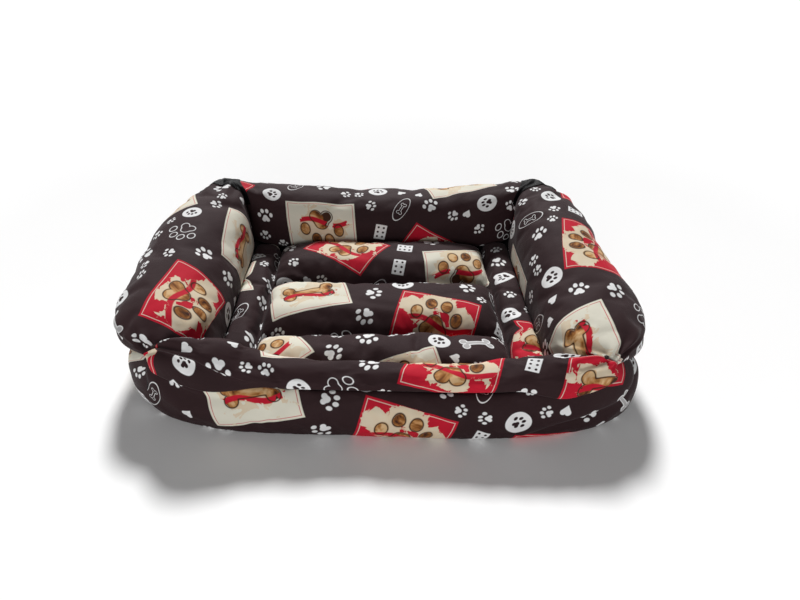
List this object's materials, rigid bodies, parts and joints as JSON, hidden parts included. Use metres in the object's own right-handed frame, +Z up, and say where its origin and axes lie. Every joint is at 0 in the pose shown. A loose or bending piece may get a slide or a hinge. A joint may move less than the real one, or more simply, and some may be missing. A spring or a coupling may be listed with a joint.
{
  "type": "dog sofa bed",
  "caption": "Soft rectangular dog bed: stuffed base, tall padded side and rear bolsters, a low front bolster to step over, and a quilted pad in rolls in the nest.",
  "frame": {"origin": "centre of the footprint at the floor, below the middle of the bed's bounding box", "axes": "+X across the bed to the right as the dog steps in, -Y towards the low front bolster, +Z up from the floor"},
  "size_m": [0.6998, 0.496, 0.1562],
  "materials": {
    "printed_cloth": "plain-woven cotton blend, dark brown ground with a white, red and cream print",
    "plain_cloth": "black nylon with a slight sheen",
    "fibre_filling": "white siliconised polyester fibre",
    "tack_cord": "dark waxed thread"
  },
  "bodies": {
    "root": {"base_bottom_panel": "plain_cloth", "base_border_band": "printed_cloth", "base_top_panel": "plain_cloth", "base_filling": "fibre_filling", "pad_top_sheet": "printed_cloth", "pad_bottom_sheet": "plain_cloth", "pad_filling_front": "fibre_filling", "pad_filling_middle": "fibre_filling", "pad_filling_rear": "fibre_filling", "pad_filling_left": "fibre_filling", "pad_filling_right": "fibre_filling", "bolster_front_cover": "printed_cloth", "bolster_right_cover": "printed_cloth", "bolster_rear_cover": "printed_cloth", "bolster_left_cover": "printed_cloth", "bolster_front_filling": "fibre_filling", "bolster_right_filling": "fibre_filling", "bolster_rear_filling": "fibre_filling", "bolster_left_filling": "fibre_filling", "corner_patch_rear_left": "plain_cloth", "corner_patch_rear_right": "plain_cloth", "corner_tack_front_left": "tack_cord", "corner_tack_front_right": "tack_cord"}
  },
  "joints": []
}
